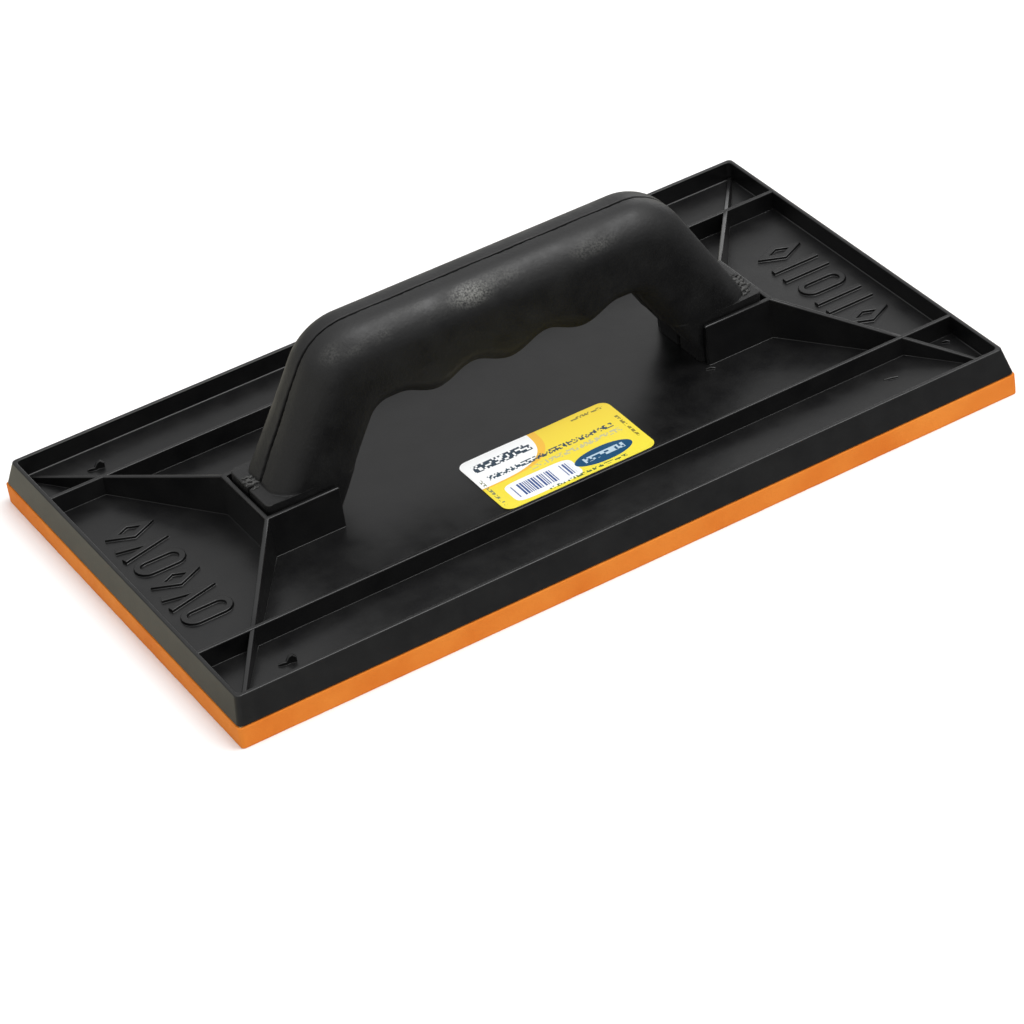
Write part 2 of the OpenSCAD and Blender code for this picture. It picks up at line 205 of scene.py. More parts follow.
# ---------------------------------------------------------------------------------------------------
# BASE TRAY. One injection moulding in black polypropylene: floor, leaning rim, two long ribs, two foot
# sockets, four diagonal ribs and raised marks, with small radii at every foot and edge.
# ---------------------------------------------------------------------------------------------------
tray_low, tray_high = node_box("base_tray")
tray_z = tray_low[2]
floor_z = node_box("label")[0][2]
socket_z = tray_high[2]
foot_half_l, foot_half_w = tray_high[0], tray_high[1]
rim_z = tray_z + 8.1
rim_lean_l, rim_lean_w = 1.9, 2.8
rim_half_l, rim_half_w = foot_half_l - rim_lean_l, foot_half_w - rim_lean_w
rim_t = 1.25
well_half_l, well_half_w = rim_half_l - rim_t, rim_half_w - rim_t
socket_in_x, socket_out_x, socket_half_w = 62.4, 86.4, 14.2
socket_wall = 1.5
long_rib_y, long_rib_t = 47.0, 1.4
diagonal_rib_t, diagonal_end_gap, diagonal_end_h = 1.45, 0.8, 1.0

quarter = np.linspace(0, np.pi / 2, 6)


def pan_rows():
    """Rows (half length, half width, corner radius, height) of the tray's outline: from the foot up the
    leaning outside, over the rounded rim, down the upright inside and round the fillet to the floor."""
    out_r, in_r, fillet, foot_r = 0.42, 0.36, 0.45, 0.3
    foot_corner, out_corner, in_corner = 1.4, 1.6, 1.5
    rows = [(foot_half_l - foot_r, foot_half_w - foot_r, foot_corner, tray_z)]
    lean = np.array([rim_half_l - foot_half_l, rim_half_w - foot_half_w]) / (rim_z - tray_z)
    for z in (tray_z + foot_r, rim_z - 2.5, rim_z - out_r):
        rise = z - tray_z
        rows.append((foot_half_l + lean[0] * rise, foot_half_w + lean[1] * rise, out_corner, z))
    side_l, side_w = rows[-1][0], rows[-1][1]
    for a in quarter[1:]:
        back = out_r * (1 - np.cos(a))
        rows.append((side_l - back, side_w - back, out_corner - back, rim_z - out_r + out_r * np.sin(a)))
    for a in quarter:
        back = in_r * (1 - np.sin(a))
        z = rim_z - in_r * (1 - np.cos(a))
        rows.append((well_half_l + back, well_half_w + back, in_corner + back, z))
    rows.append((well_half_l, well_half_w, in_corner, floor_z + fillet + 2))
    for a in quarter:
        inward = fillet * (1 - np.cos(a))
        z = floor_z + fillet * (1 - np.sin(a))
        rows.append((well_half_l - inward, well_half_w - inward, in_corner - inward, z))
    return rows


pan = closed_skin("pan", np.array([rounded_ring(*row, 6) for row in pan_rows()]))


def rib_section(thick, high, top_r, foot_r):
    """Section of a rib standing on the floor, as (across, up) points: a foot fillet of foot_r, a side with
    a little draft, a top rounded by top_r, and the same back down. The base lies root deep in the floor, and
    the fillet ends sunk deep in it."""
    draft, root, sunk = 0.012 * high, 0.6, 0.01
    fillet = np.stack([thick / 2 + draft + foot_r * (1 - np.sin(quarter)),
                       foot_r * (1 - np.cos(quarter)) - sunk], -1)
    crown = np.stack([thick / 2 - top_r * (1 - np.cos(quarter)), high - top_r * (1 - np.sin(quarter))], -1)
    right = np.concatenate([[[thick / 2 + draft + foot_r, -root]], fillet, crown])
    return np.concatenate([right, right[::-1] * [-1, 1]])


def rib_along(name, path, sections, closed=False):
    """Sections carried along a path on the floor: each stands upright across the path, and at a corner it is
    widened by the mitre, one over the cosine of half the turn."""
    ahead = np.roll(path, -1, 0) - path
    behind = path - np.roll(path, 1, 0)
    if not closed:
        ahead[-1], behind[0] = behind[-1], ahead[0]
    ahead /= np.linalg.norm(ahead, axis=1)[:, None]
    behind /= np.linalg.norm(behind, axis=1)[:, None]
    middle = ahead + behind
    middle /= np.linalg.norm(middle, axis=1)[:, None]
    side = np.stack([-middle[:, 1], middle[:, 0]], -1) / (middle * ahead).sum(1)[:, None]
    sections = np.broadcast_to(sections, (len(path),) + np.shape(sections)[-2:])
    flat = path[:, None] + side[:, None] * sections[..., :1]
    return closed_skin(name, np.concatenate([flat, floor_z + sections[..., 1:]], -1), closed)


def long_rib(side):
    """Straight rib along the tray, a little lower than the rim, both ends in the rim's end walls."""
    lower = 0.06
    x = np.array([-1, 1]) * (well_half_l + rim_t / 2)
    path = np.stack([x, np.full(2, side * long_rib_y)], -1)
    return rib_along("long_rib", path, rib_section(long_rib_t, rim_z - floor_z - lower, 0.4, 0.15))


def socket(end):
    """Three walls round a foot: in along one side, across the outer end and back along the other side. The
    walls thin and drop a little over the last half millimetre at the open end."""
    out, half = socket_out_x - socket_wall / 2, socket_half_w - socket_wall / 2
    open_x, full_x = socket_in_x, socket_in_x + 0.5
    path = np.array([(open_x, -half), (full_x, -half), (out, -half),
                     (out, half), (full_x, half), (open_x, half)])
    high, thinner, lower = socket_z - floor_z, 0.5, 0.3
    full = rib_section(socket_wall, high, 0.5, 0.2)
    drawn_in = rib_section(socket_wall - thinner, high - lower, 0.4, 0.2)
    return rib_along("socket", path * [end, 1], np.array([drawn_in, full, full, full, full, drawn_in]))


def diagonal_rib(end, side):
    """Rib from the socket's top corner down to the rim's inner corner, its crest falling in a straight
    line."""
    lower = 0.1
    start = np.array([socket_out_x - diagonal_rib_t / 2, socket_half_w - diagonal_rib_t / 2])
    stop = np.array([well_half_l - diagonal_end_gap, well_half_w - diagonal_end_gap])
    share = np.linspace(0, 1, 7)[:, None]
    path = (start + (stop - start) * share) * [end, side]
    crest = (socket_z - floor_z - lower) * (1 - share[:, 0]) + diagonal_end_h * share[:, 0]
    sections = np.array([rib_section(diagonal_rib_t, high, 0.42, 0.15) for high in crest])
    return rib_along("diagonal_rib", path, sections)


mark_l, mark_w, mark_stroke, mark_h, mark_x = 16.0, 8.0, 2.0, 0.9, 113.0
bar_gap = 6.0


def mark_path(kind):
    """Middle line of a raised mark, long along the tray, and whether it closes: a ring with straight sides,
    an open chevron, or a lozenge."""
    if kind == "ring":
        turn = np.linspace(-np.pi / 2, np.pi / 2, 9)
        r = (mark_w - mark_stroke) / 2
        bend = np.stack([(mark_l - mark_w) / 2 + r * np.cos(turn), r * np.sin(turn)], -1)
        return np.concatenate([bend, -bend]), True
    if kind == "chevron":
        tip_x, arm_y = 3.88, 2.97
        return np.array([(-mark_l / 2, -arm_y), (tip_x, 0), (-mark_l / 2, arm_y)]), False
    half_l, half_w = 5.77, 2.88
    return np.array([(-half_l, 0), (0, -half_w), (half_l, 0), (0, half_w)]), True


def raised_marks(end, kinds, pitch):
    """A row of raised marks across the floor at one end of the tray, pitch apart; bars come in pairs."""
    section = rib_section(mark_stroke - 0.1, mark_h, 0.3, 0.25)
    made = []
    for i, kind in enumerate(kinds):
        middle = np.array([end * mark_x, (i - (len(kinds) - 1) / 2) * pitch])
        if kind == "bars":
            for bar_y in (-bar_gap / 2, bar_gap / 2):
                path = np.array([(-mark_l / 2, bar_y), (mark_l / 2, bar_y)])
                made.append(rib_along("mark", path + middle, section))
        else:
            path, closes = mark_path(kind)
            made.append(rib_along("mark", path + middle, section, closes))
    return made


def turned(name, x, y, outline):
    """Round piece on an upright axis: outline's (radius, height) points turned through a full circle."""
    sides = 32
    outline = np.array(outline, float)
    angle = np.arange(sides) / sides * 2 * np.pi
    ring = np.stack([np.cos(angle), np.sin(angle)], -1)
    flat = outline[:, None, :1] * ring + [x, y]
    height = np.broadcast_to(outline[:, None, 1:], flat.shape[:2] + (1,))
    return closed_skin(name, np.concatenate([flat, height], -1))


def torn_fin(x, y, length, heights):
    """Low ragged fin of plastic, length long and slightly askew, its crest at the given heights in turn."""
    share = np.linspace(-0.5, 0.5, len(heights))
    path = np.stack([x + length * share, y - 0.8 * share + 0.25 * np.sin(9 * share)], -1)
    return rib_along("fin", path, np.array([rib_section(0.6 + 0.25 * h, h, 0.25, 0.15) for h in heights]))


# Where the plastic was let in, a torn fin is left on each side of one end; low fins of flash lie elsewhere.
gate_x, gate_y = -106.4, 60
fins = [torn_fin(gate_x, side * gate_y, 5.2, (0.6, 1.0, 0.9, 2.1, 2.6, 1.7)) for side in (-1, 1)]
fins.append(torn_fin(99, -55.5, 4, (0.4, 0.6, 0.5)))
fins.append(torn_fin(61.5, -16.2, 2.6, (0.5, 0.9, 0.5)))
fins.append(torn_fin(122.5, -50.6, 2, (0.6, 1.0, 0.6)))

# Each screw has a round seat on the floor and a stepped hole from below: wide for the head, narrow for the
# shank.
screw_x, screw_y = 74.3, 6.0
head_top_z, seat_z = tray_z + 2.5, tray_z + 4.4
seat_r, seat_bevel, head_hole_r, shank_hole_r = 4.0, 0.3, 3.7, 2.05
seat_outline = [(seat_r, floor_z - 0.5), (seat_r, seat_z - seat_bevel), (seat_r - seat_bevel, seat_z),
                (0.05, seat_z)]
hole_outline = [(head_hole_r, tray_z - 1), (head_hole_r, head_top_z), (shank_hole_r, head_top_z),
                (shank_hole_r, seat_z + 1)]
seats, holes = [], []
for x in (-screw_x, screw_x):
    for y in (-screw_y, screw_y):
        seats.append(turned("seat", x, y, seat_outline))
        holes.append(turned("hole", x, y, hole_outline))


def fuse(name, solids, cutters=()):
    """One closed mesh from closed solids that overlap, less the cutters; points closer than a micrometre are
    then merged, which takes out the slivers that such cuts leave."""
    body = solids[0]
    steps = [(tool, "UNION") for tool in solids[1:]] + [(tool, "DIFFERENCE") for tool in cutters]
    for tool, operation in steps:
        step = body.modifiers.new("step", "BOOLEAN")
        step.object, step.operation, step.solver = tool, operation, "MANIFOLD"
    graph = bpy.context.evaluated_depsgraph_get()
    mesh = bpy.data.meshes.new_from_object(body.evaluated_get(graph))
    for used in [body] + [tool for tool, _ in steps]:
        bpy.data.objects.remove(used)
    merged = bmesh.new()
    merged.from_mesh(mesh)
    bmesh.ops.remove_doubles(merged, verts=merged.verts, dist=0.001 * MM)
    merged.to_mesh(mesh)
    merged.free()
    piece = bpy.data.objects.new(name, mesh)
    bpy.context.scene.collection.objects.link(piece)
    return piece


tray_solids = [pan] + [long_rib(side) for side in (-1, 1)]
for end in (-1, 1):
    tray_solids += [socket(end), diagonal_rib(end, -1), diagonal_rib(end, 1)]
tray_solids += raised_marks(-1, ["ring", "chevron", "lozenge"] * 2, 9.8)
tray_solids += raised_marks(1, ["lozenge", "bars", "ring", "bars", "lozenge"], 11.6)
base_tray = fuse("moulded_tray", tray_solids + fins + seats, holes)
soft_shading(base_tray, 38)


def polypropylene(name, gloss, grain_size, grain_depth):
    """Polypropylene, injection moulded: near-black and satin. gloss is its lowest and highest roughness, in
    patches 9 mm across; flow marks 22 mm apart and grain of the size and depth given, in mm, roughen it."""
    plastic, tree, shader, place = new_material(name)
    flow = add_node(tree, "ShaderNodeTexNoise", {"Vector": place, "Scale": 1000 / 22, "Detail": 3.0})
    scuff = add_node(tree, "ShaderNodeTexNoise",
                     {"Vector": place, "Scale": 1000 / 9, "Detail": 3.0, "Roughness": 0.6})
    grain = add_node(tree, "ShaderNodeTexNoise", {"Vector": place, "Scale": 1000 / grain_size, "Detail": 3.0})
    colour = add_node(tree, "ShaderNodeValToRGB", {"Fac": scuff.outputs["Fac"]})
    low, high = colour.color_ramp.elements
    low.position, low.color = 0.35, linear("#0a0a0b")
    high.position, high.color = 0.75, linear("#131313")
    dull = add_node(tree, "ShaderNodeMapRange",
                    {"Value": scuff.outputs["Fac"], "From Min": 0.3, "From Max": 0.7,
                     "To Min": gloss[0], "To Max": gloss[1]})
    slow = add_node(tree, "ShaderNodeBump",
                    {"Strength": 0.5, "Distance": 0.35 * MM, "Height": flow.outputs["Fac"]})
    fine = add_node(tree, "ShaderNodeBump",
                    {"Strength": 0.5, "Distance": grain_depth * MM, "Height": grain.outputs["Fac"],
                     "Normal": slow.outputs["Normal"]})
    tree.links.new(colour.outputs["Color"], shader.inputs["Base Color"])
    tree.links.new(dull.outputs["Result"], shader.inputs["Roughness"])
    tree.links.new(fine.outputs["Normal"], shader.inputs["Normal"])
    shader.inputs["IOR"].default_value = 1.49
    return plastic


# The tray's tool was polished and has gone slightly dull: a fine grain, drawn at 0.5 mm so that it shows.
tray_plastic = polypropylene("polished_tool_polypropylene", (0.28, 0.36), 0.5, 0.03)
base_tray.data.materials.clear()
base_tray.data.materials.append(tray_plastic)
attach(base_tray, "root")
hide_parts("base_tray")


# ---------------------------------------------------------------------------------------------------
# HANDLE. Two half shells in the same polypropylene, welded along the middle of the grip. The seam shows
# as a narrow uneven groove, and a little flash stands up where it crosses each foot.
# ---------------------------------------------------------------------------------------------------
handle_low, handle_high = node_box("handle_shell_far")
handle_top_z, handle_hw = handle_high[2], handle_high[1]
foot_z, foot_out_x = handle_low[2], handle_high[0]
shell_wall = 2.2
foot_in_x = socket_in_x - 1.4
shoulder_z = socket_z + 2.0
leg_out_x = foot_out_x - 3.9
leg_in_x = leg_out_x - 27.2
leg_slope_out, leg_slope_in = 0.544, 0.58
grip_low_z = handle_top_z - 26.1
shoulder_r, inner_corner_r = 19.5, 7.0
top_edge_r, low_edge_r, foot_corner_r = 9.8, 6.0, 1.8
scallop_pitch, scallop_h = 24.6, 3.8
seam_gap, seam_fade = 0.36, 5


def arc_run(corner_x, corner_z, slope, r, share):
    """Arc of radius r in the corner between a leg line and a level line; share runs from 0, on the leg,
    to 1, on the level."""
    turn = np.arctan(1 / slope)
    a = turn * (1 - share)
    return np.stack([corner_x - r * np.tan(turn / 2) + r * np.sin(a), corner_z - r + r * np.cos(a)], -1)


def under_z(x):
    """Height of the grip's underside: bumps at every scallop pitch, level past the last hollow."""
    wave = grip_low_z - scallop_h / 2 * (1 - np.cos(2 * np.pi * (x - scallop_pitch / 2) / scallop_pitch))
    return np.where(np.abs(x) > 1.5 * scallop_pitch, grip_low_z, wave)


def handle_stations():
    """Rows (outer x, outer z, inner x, inner z, top radius, low radius) from the right foot over the grip to
    the left foot: rows listed one by one up the foot and over its shoulder, a straight leg, the outer and the
    inner arc of the corner, and the level grip over its scalloped underside. The left half mirrors the right."""
    out_corner_x = leg_out_x - leg_slope_out * (handle_top_z - shoulder_z)
    in_corner_x = leg_in_x - leg_slope_in * (grip_low_z - shoulder_z)
    blend_x = foot_in_x - leg_in_x
    foot = np.array([
        (foot_out_x, foot_z, foot_in_x, foot_z, foot_corner_r, foot_corner_r),
        (foot_out_x, foot_z + 4, foot_in_x, foot_z + 4, foot_corner_r, foot_corner_r),
        (foot_out_x, socket_z - 4, leg_in_x + 0.55 * blend_x, socket_z - 4, foot_corner_r, foot_corner_r + 1),
        (foot_out_x, shoulder_z - 0.45, leg_in_x + 0.12 * blend_x, shoulder_z - 0.9, 1.7, 4.3),
        (foot_out_x - 0.12, shoulder_z - 0.15, leg_in_x + 0.1 * blend_x, shoulder_z - 0.6, 1.8, 4.4),
        (foot_out_x - 0.45, shoulder_z, leg_in_x + 0.09 * blend_x, shoulder_z - 0.4, 2.0, 4.5),
        (leg_out_x + 0.35, shoulder_z - 0.05, leg_in_x + 0.02 * blend_x, shoulder_z - 0.25, 7.0, 5.6),
        (leg_out_x + 0.1, shoulder_z + 0.2, leg_in_x, shoulder_z, 7.3, 5.7),
        (leg_out_x, shoulder_z + 0.7, leg_in_x - 0.3, shoulder_z + 0.5, 7.4, 5.8)])
    arcs = np.linspace(0, 1, 25)
    out_arc = arc_run(out_corner_x, handle_top_z, leg_slope_out, shoulder_r, arcs)
    in_arc = arc_run(in_corner_x, grip_low_z, leg_slope_in, inner_corner_r, arcs)
    share = np.linspace(0, 1, 46)[1:-1, None]
    leg = np.concatenate([foot[-1, :2] + (out_arc[0] - foot[-1, :2]) * share,
                          foot[-1, 2:4] + (in_arc[0] - foot[-1, 2:4]) * share,
                          top_edge_r - 2.3 * (1 - share), low_edge_r + 0 * share], -1)
    arc = np.concatenate([out_arc, in_arc, np.tile([top_edge_r, low_edge_r], (len(arcs), 1))], -1)
    share = np.linspace(0, 1, 81)[1:]
    in_x = in_arc[-1, 0] * (1 - share)
    grip = np.stack([out_arc[-1, 0] * (1 - share), handle_top_z + 0 * share, in_x, under_z(in_x),
                     top_edge_r + 0 * share, low_edge_r + 0 * share], -1)
    right = np.concatenate([foot, leg, arc, grip])
    left = right[-2::-1] * [-1, 1, -1, 1, 1, 1]
    return np.concatenate([right, left])


def half_section(hw, depth, r_top, r_low, seam_r):
    """Half section of the handle as (from the seam, down from the top) rows: rounded seam edge, top, top
    edge, side, lower edge, underside and rounded seam edge again, for arrays of stations at once."""
    hw, depth, r_top, r_low, seam_r = (np.broadcast_to(v, depth.shape)[:, None] for v in
                                       (hw, depth, r_top, r_low, seam_r))
    a = np.linspace(0, np.pi / 2, 5)
    b = np.linspace(0, np.pi / 2, 11)
    s = np.linspace(0, 1, 6)[1:-1]
    y = [seam_r * (1 - np.cos(a)), hw - r_top + r_top * np.sin(b), hw + 0 * s,
         hw - r_low + r_low * np.cos(b), seam_r * (1 - np.sin(a))]
    low_side, high_side = depth - r_low, r_top
    down = [seam_r * (1 - np.sin(a)), r_top - r_top * np.cos(b), high_side + (low_side - high_side) * s,
            depth - r_low + r_low * np.sin(b), depth - seam_r * (1 - np.cos(a))]
    return np.concatenate(y, 1), np.concatenate(down, 1)


def half_shell(name, side):
    """Closed half shell: at every station the outside from top seam to bottom seam, bellied by 3% where it is
    over 8 mm from the seam, and back along the inside, one wall thickness in. The halves meet inside. Outside,
    each stands back from the seam by seam_gap, more on the legs and unevenly by a sum of sines; that fades to
    nothing at seam_fade from the seam."""
    s = handle_stations()
    top, low = s[:, 0:2], s[:, 2:4]
    depth = np.linalg.norm(low - top, axis=1)
    run = np.concatenate([[0], np.cumsum(np.linalg.norm(np.diff(top, axis=0), axis=1))])
    leg_share = np.clip((handle_top_z - top[:, 1]) / 30, 0, 1)
    ragged = 0.5 * np.sin(run * 0.35 + side) + 0.3 * np.sin(run * 1.7 + 2 * side)
    ragged += 0.2 * np.sin(run * 4.1 + side)
    seam_r = 0.34 + 0.2 * leg_share + 0.12 * ragged
    gap = seam_gap * (1 + 0.6 * leg_share + 0.5 * ragged)
    y, down = half_section(handle_hw, depth, s[:, 4], s[:, 5], seam_r)
    belly = np.sin(np.pi * np.clip(down / depth[:, None], 0, 1))
    y = y * (1 + 0.03 * (belly - 1) * (y > 8)) + gap[:, None] * np.clip(1 - y / seam_fade, 0, 1)
    in_top_r, in_low_r = np.maximum(0.5, s[:, 4:6] - shell_wall).T
    in_y, in_down = half_section(handle_hw - shell_wall, depth - 2 * shell_wall, in_top_r, in_low_r, 0.05)
    y = np.concatenate([y, in_y[:, ::-1]], 1)
    down = np.concatenate([down, in_down[:, ::-1] + shell_wall], 1)
    step = (low - top) / depth[:, None]
    at = top[:, None] + step[:, None] * down[..., None]
    rings = np.stack([at[..., 0], side * y, at[..., 1]], -1)
    piece = closed_skin(name, rings)
    soft_shading(piece, 48)
    return piece


# The handle's tool was sand-blasted for grip: a rough grain of about 1 mm that breaks up the highlights.
grip_plastic = polypropylene("blasted_tool_polypropylene", (0.42, 0.6), 1.1, 0.16)
tree = grip_plastic.node_tree
place = tree.nodes["Texture Coordinate"].outputs["Object"]
shader = tree.nodes["Principled BSDF"]
moulded_colour = shader.inputs["Base Color"].links[0].from_socket
moulded_roughness = shader.inputs["Roughness"].links[0].from_socket

# Along the near shoulder, where the lamp's highlight falls, the colour is painted pale: a painted highlight,
# broken into
#  specks of 0.6 mm like rubbed wear, in faint patches about 14 mm apart and one strong patch left of the
#  middle.
highlight_patch_x = -10
shoulder = (highlight_patch_x * MM, -0.76 * handle_hw * MM, (handle_top_z - 3.0) * MM)
from_spot = add_node(tree, "ShaderNodeVectorMath", {0: place, 1: shoulder}, operation="SUBTRACT")


def near_shoulder(stretch, half_width):
    """1 on the shoulder, falling to 0 at half_width millimetres from it; distance along X counts stretch
    times."""
    offset = add_node(tree, "ShaderNodeVectorMath",
                      {0: from_spot.outputs[0], 1: (stretch, 1, 1)}, operation="MULTIPLY")
    reach = add_node(tree, "ShaderNodeVectorMath", {0: offset.outputs[0]}, operation="LENGTH")
    fall = add_node(tree, "ShaderNodeMapRange",
                    {"Value": reach.outputs["Value"], "From Min": half_width * 0.25 * MM,
                     "From Max": half_width * MM, "To Min": 1.0, "To Max": 0.0})
    return fall.outputs["Result"]


patches = add_node(tree, "ShaderNodeTexNoise", {"Vector": place, "Scale": 1000 / 14, "Detail": 2.0})
patch = add_node(tree, "ShaderNodeMapRange",
                 {"Value": patches.outputs["Fac"], "From Min": 0.45, "From Max": 0.7,
                  "To Min": 0.0, "To Max": 0.5})
faint = add_node(tree, "ShaderNodeMath",
                 {0: near_shoulder(0, 4.5), 1: patch.outputs["Result"]}, operation="MULTIPLY")
strongest = add_node(tree, "ShaderNodeMath",
                     {0: faint.outputs[0], 1: near_shoulder(0.5, 4.4)}, operation="MAXIMUM")
specks = add_node(tree, "ShaderNodeTexNoise", {"Vector": place, "Scale": 1000 / 0.6, "Detail": 2.0})
speck = add_node(tree, "ShaderNodeMapRange",
                 {"Value": specks.outputs["Fac"], "From Min": 0.34, "From Max": 0.66})
wear_and_highlight = add_node(tree, "ShaderNodeMath",
                  {0: strongest.outputs[0], 1: speck.outputs["Result"]}, operation="MULTIPLY")
# The pale grey mixed in here is a painted highlight on the shoulder, with rubbed wear specks.
worn_and_highlight_mix = add_node(tree, "ShaderNodeMix", data_type="RGBA")
tree.links.new(wear_and_highlight.outputs[0], worn_and_highlight_mix.inputs["Factor"])
tree.links.new(moulded_colour, worn_and_highlight_mix.inputs["A"])
worn_and_highlight_mix.inputs["B"].default_value = linear("#6d6d69")
tree.links.new(worn_and_highlight_mix.outputs["Result"], shader.inputs["Base Color"])

# Faces that look down, such as the grip's underside, are duller than the rest.
surface = add_node(tree, "ShaderNodeNewGeometry")
facing = add_node(tree, "ShaderNodeSeparateXYZ", {"Vector": surface.outputs["Normal"]})
downward = add_node(tree, "ShaderNodeMapRange",
                    {"Value": facing.outputs["Z"], "From Min": 0.0, "From Max": -0.4,
                     "To Min": 0.0, "To Max": 0.35})
duller = add_node(tree, "ShaderNodeMath",
                  {0: moulded_roughness, 1: downward.outputs["Result"]}, operation="ADD")
tree.links.new(duller.outputs[0], shader.inputs["Roughness"])
for shell_name, node_name, side in (("half_shell_near", "handle_shell_near", -1),
                                    ("half_shell_far", "handle_shell_far", 1)):
    shell = half_shell(shell_name, side)
    shell.data.materials.append(grip_plastic)
    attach(shell, "root")
    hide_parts(node_name)


def bead(start, stop, r):
    """Ragged string of squeezed-out plastic on a foot, from start to stop: a tube that tapers at both ends,
    its radius and its middle line disturbed by a sum of two sines."""
    share = np.linspace(0, 1, 22)
    wobble = np.sin(share * 13 + 5 * r + start[1]) + 0.6 * np.sin(share * 31 + start[0])
    middle = np.array(start) + (np.array(stop) - start) * share[:, None]
    middle[:, 1] += 0.25 * wobble
    radius = r * (0.8 + 0.15 * wobble) * np.sqrt(np.sin(np.pi * (0.04 + 0.92 * share)))
    angle = np.arange(10) / 10 * 2 * np.pi
    ring = np.stack([0 * angle, np.cos(angle), 0.9 * np.sin(angle)], -1)
    middle = np.column_stack([middle, np.full(len(share), shoulder_z)])
    return closed_skin("bead", middle[:, None] + radius[:, None, None] * ring)


# On each foot the beads lie side by side across the seam, from the leg outwards.
beads = [bead((-84.3, 1.4), (-79.6, 0.9), 0.9), bead((-84.4, 3.3), (-80.2, 2.4), 1.0),
         bead((-83.6, 5.4), (-80.0, 4.2), 0.7), bead((-83.9, -1.4), (-81.0, -1.1), 0.55),
         bead((79.4, -1.4), (84.3, -0.9), 0.8), bead((79.2, -3.4), (84.2, -2.6), 1.0),
         bead((78.8, -5.4), (83.2, -4.4), 0.9), bead((78.9, -7.8), (84.0, -6.0), 1.0),
         bead((78.6, -10.0), (82.2, -8.6), 0.7), bead((80.4, 1.2), (83.2, 1.5), 0.5)]
flash = fuse("weld_flash", beads)
soft_shading(flash, 60)

# Torn polypropylene: dull and stress-whitened to a dark grey, blotched every 1.2 mm.
torn, tree, shader, place = new_material("torn_polypropylene")
blotch = add_node(tree, "ShaderNodeTexNoise", {"Vector": place, "Scale": 1000 / 1.2, "Detail": 3.0})
colour = add_node(tree, "ShaderNodeValToRGB", {"Fac": blotch.outputs["Fac"]})
colour.color_ramp.elements[0].position, colour.color_ramp.elements[0].color = 0.35, linear("#20201f")
colour.color_ramp.elements[1].position, colour.color_ramp.elements[1].color = 0.65, linear("#40403e")
tree.links.new(colour.outputs["Color"], shader.inputs["Base Color"])
shader.inputs["Roughness"].default_value = 0.55
flash.data.materials.clear()
flash.data.materials.append(torn)
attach(flash, "root")


# ---------------------------------------------------------------------------------------------------
# FOOT SCREWS. Four self-tapping screws in zinc-plated steel, from under the tray into the feet. The pad
# hides them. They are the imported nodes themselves.
# ---------------------------------------------------------------------------------------------------
# Zinc plate, blue-passivated: bright grey metal, its colour and gloss clouded every 1.5 mm.
zinc, tree, shader, place = new_material("zinc_plated_steel")
cloud = add_node(tree, "ShaderNodeTexNoise", {"Vector": place, "Scale": 1000 / 1.5, "Detail": 4.0})
colour = add_node(tree, "ShaderNodeValToRGB", {"Fac": cloud.outputs["Fac"]})
colour.color_ramp.elements[0].color = linear("#a3a7a8")
colour.color_ramp.elements[1].color = linear("#cfd2cf")
rough = add_node(tree, "ShaderNodeMapRange", {"Value": cloud.outputs["Fac"], "To Min": 0.25, "To Max": 0.45})
tree.links.new(colour.outputs["Color"], shader.inputs["Base Color"])
tree.links.new(rough.outputs["Result"], shader.inputs["Roughness"])
shader.inputs["Metallic"].default_value = 1.0
for i in range(1, 5):
    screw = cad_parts[f"foot_screw_{i}"]
    screw.data.materials.clear()
    screw.data.materials.append(zinc)


# ---------------------------------------------------------------------------------------------------
# LABEL. A printed, glossy paper sticker on the tray's floor: white and yellow, with dark blue print that
# stands for a maker's text without spelling anything. It lies a little wavy on the plastic.
# ---------------------------------------------------------------------------------------------------
label_low, label_high = node_box("label")
label_l, label_w = label_high[0] - label_low[0], label_high[1] - label_low[1]
label_middle = (label_low + label_high) / 2
label_t, label_r = 0.12, 3.0


def label_rings():
    """The sticker's underside edge, its top edge, and outlines that shrink towards the middle, lifted by a
    product of two slow sines."""
    shrink = np.concatenate([[1, 1], np.linspace(1, 0.02, 14)[1:]])
    rings = np.array([rounded_ring(label_l / 2 * k, label_w / 2 * k, label_r * k, 0, 8, 24) for k in shrink])
    lift = 0.06 * (1 + np.sin(rings[..., 0] * 0.23 + 1) * np.sin(rings[..., 1] * 0.31))
    rings[..., 2] = floor_z + 0.01 + label_t + lift
    rings[0, :, 2] -= label_t
    return rings + [label_middle[0], label_middle[1], 0]


label = closed_skin("printed_label", label_rings())
soft_shading(label, 40)
corners = np.empty(len(label.data.loops), int)
label.data.loops.foreach_get("vertex_index", corners)
points = np.empty(len(label.data.vertices) * 3)
label.data.vertices.foreach_get("co", points)
print_map = (points.reshape(-1, 3)[corners, :2] / MM - label_low[:2]) / [label_l, label_w]
label.data.uv_layers.new(name="print").uv.foreach_set("vector", print_map.ravel().astype(np.float32))

# Coated paper, offset printed: flat inks under a clear gloss varnish.
paper, tree, shader, place = new_material("printed_gloss_paper")
print_uv = add_node(tree, "ShaderNodeUVMap", uv_map="print").outputs["UV"]
split = add_node(tree, "ShaderNodeSeparateXYZ", {"Vector": print_uv})
along, up = split.outputs["X"], split.outputs["Y"]


def field(u0, u1, v0, v1):
    """1 inside a rectangle of the print, given in shares of the label's length and width."""
    inside = [add_node(tree, "ShaderNodeMath", {0: share, 1: (low + high) / 2, 2: (high - low) / 2},
                       operation="COMPARE").outputs[0]
              for share, low, high in ((along, u0, u1), (up, v0, v1))]
    return add_node(tree, "ShaderNodeMath", {0: inside[0], 1: inside[1]}, operation="MULTIPLY").outputs[0]


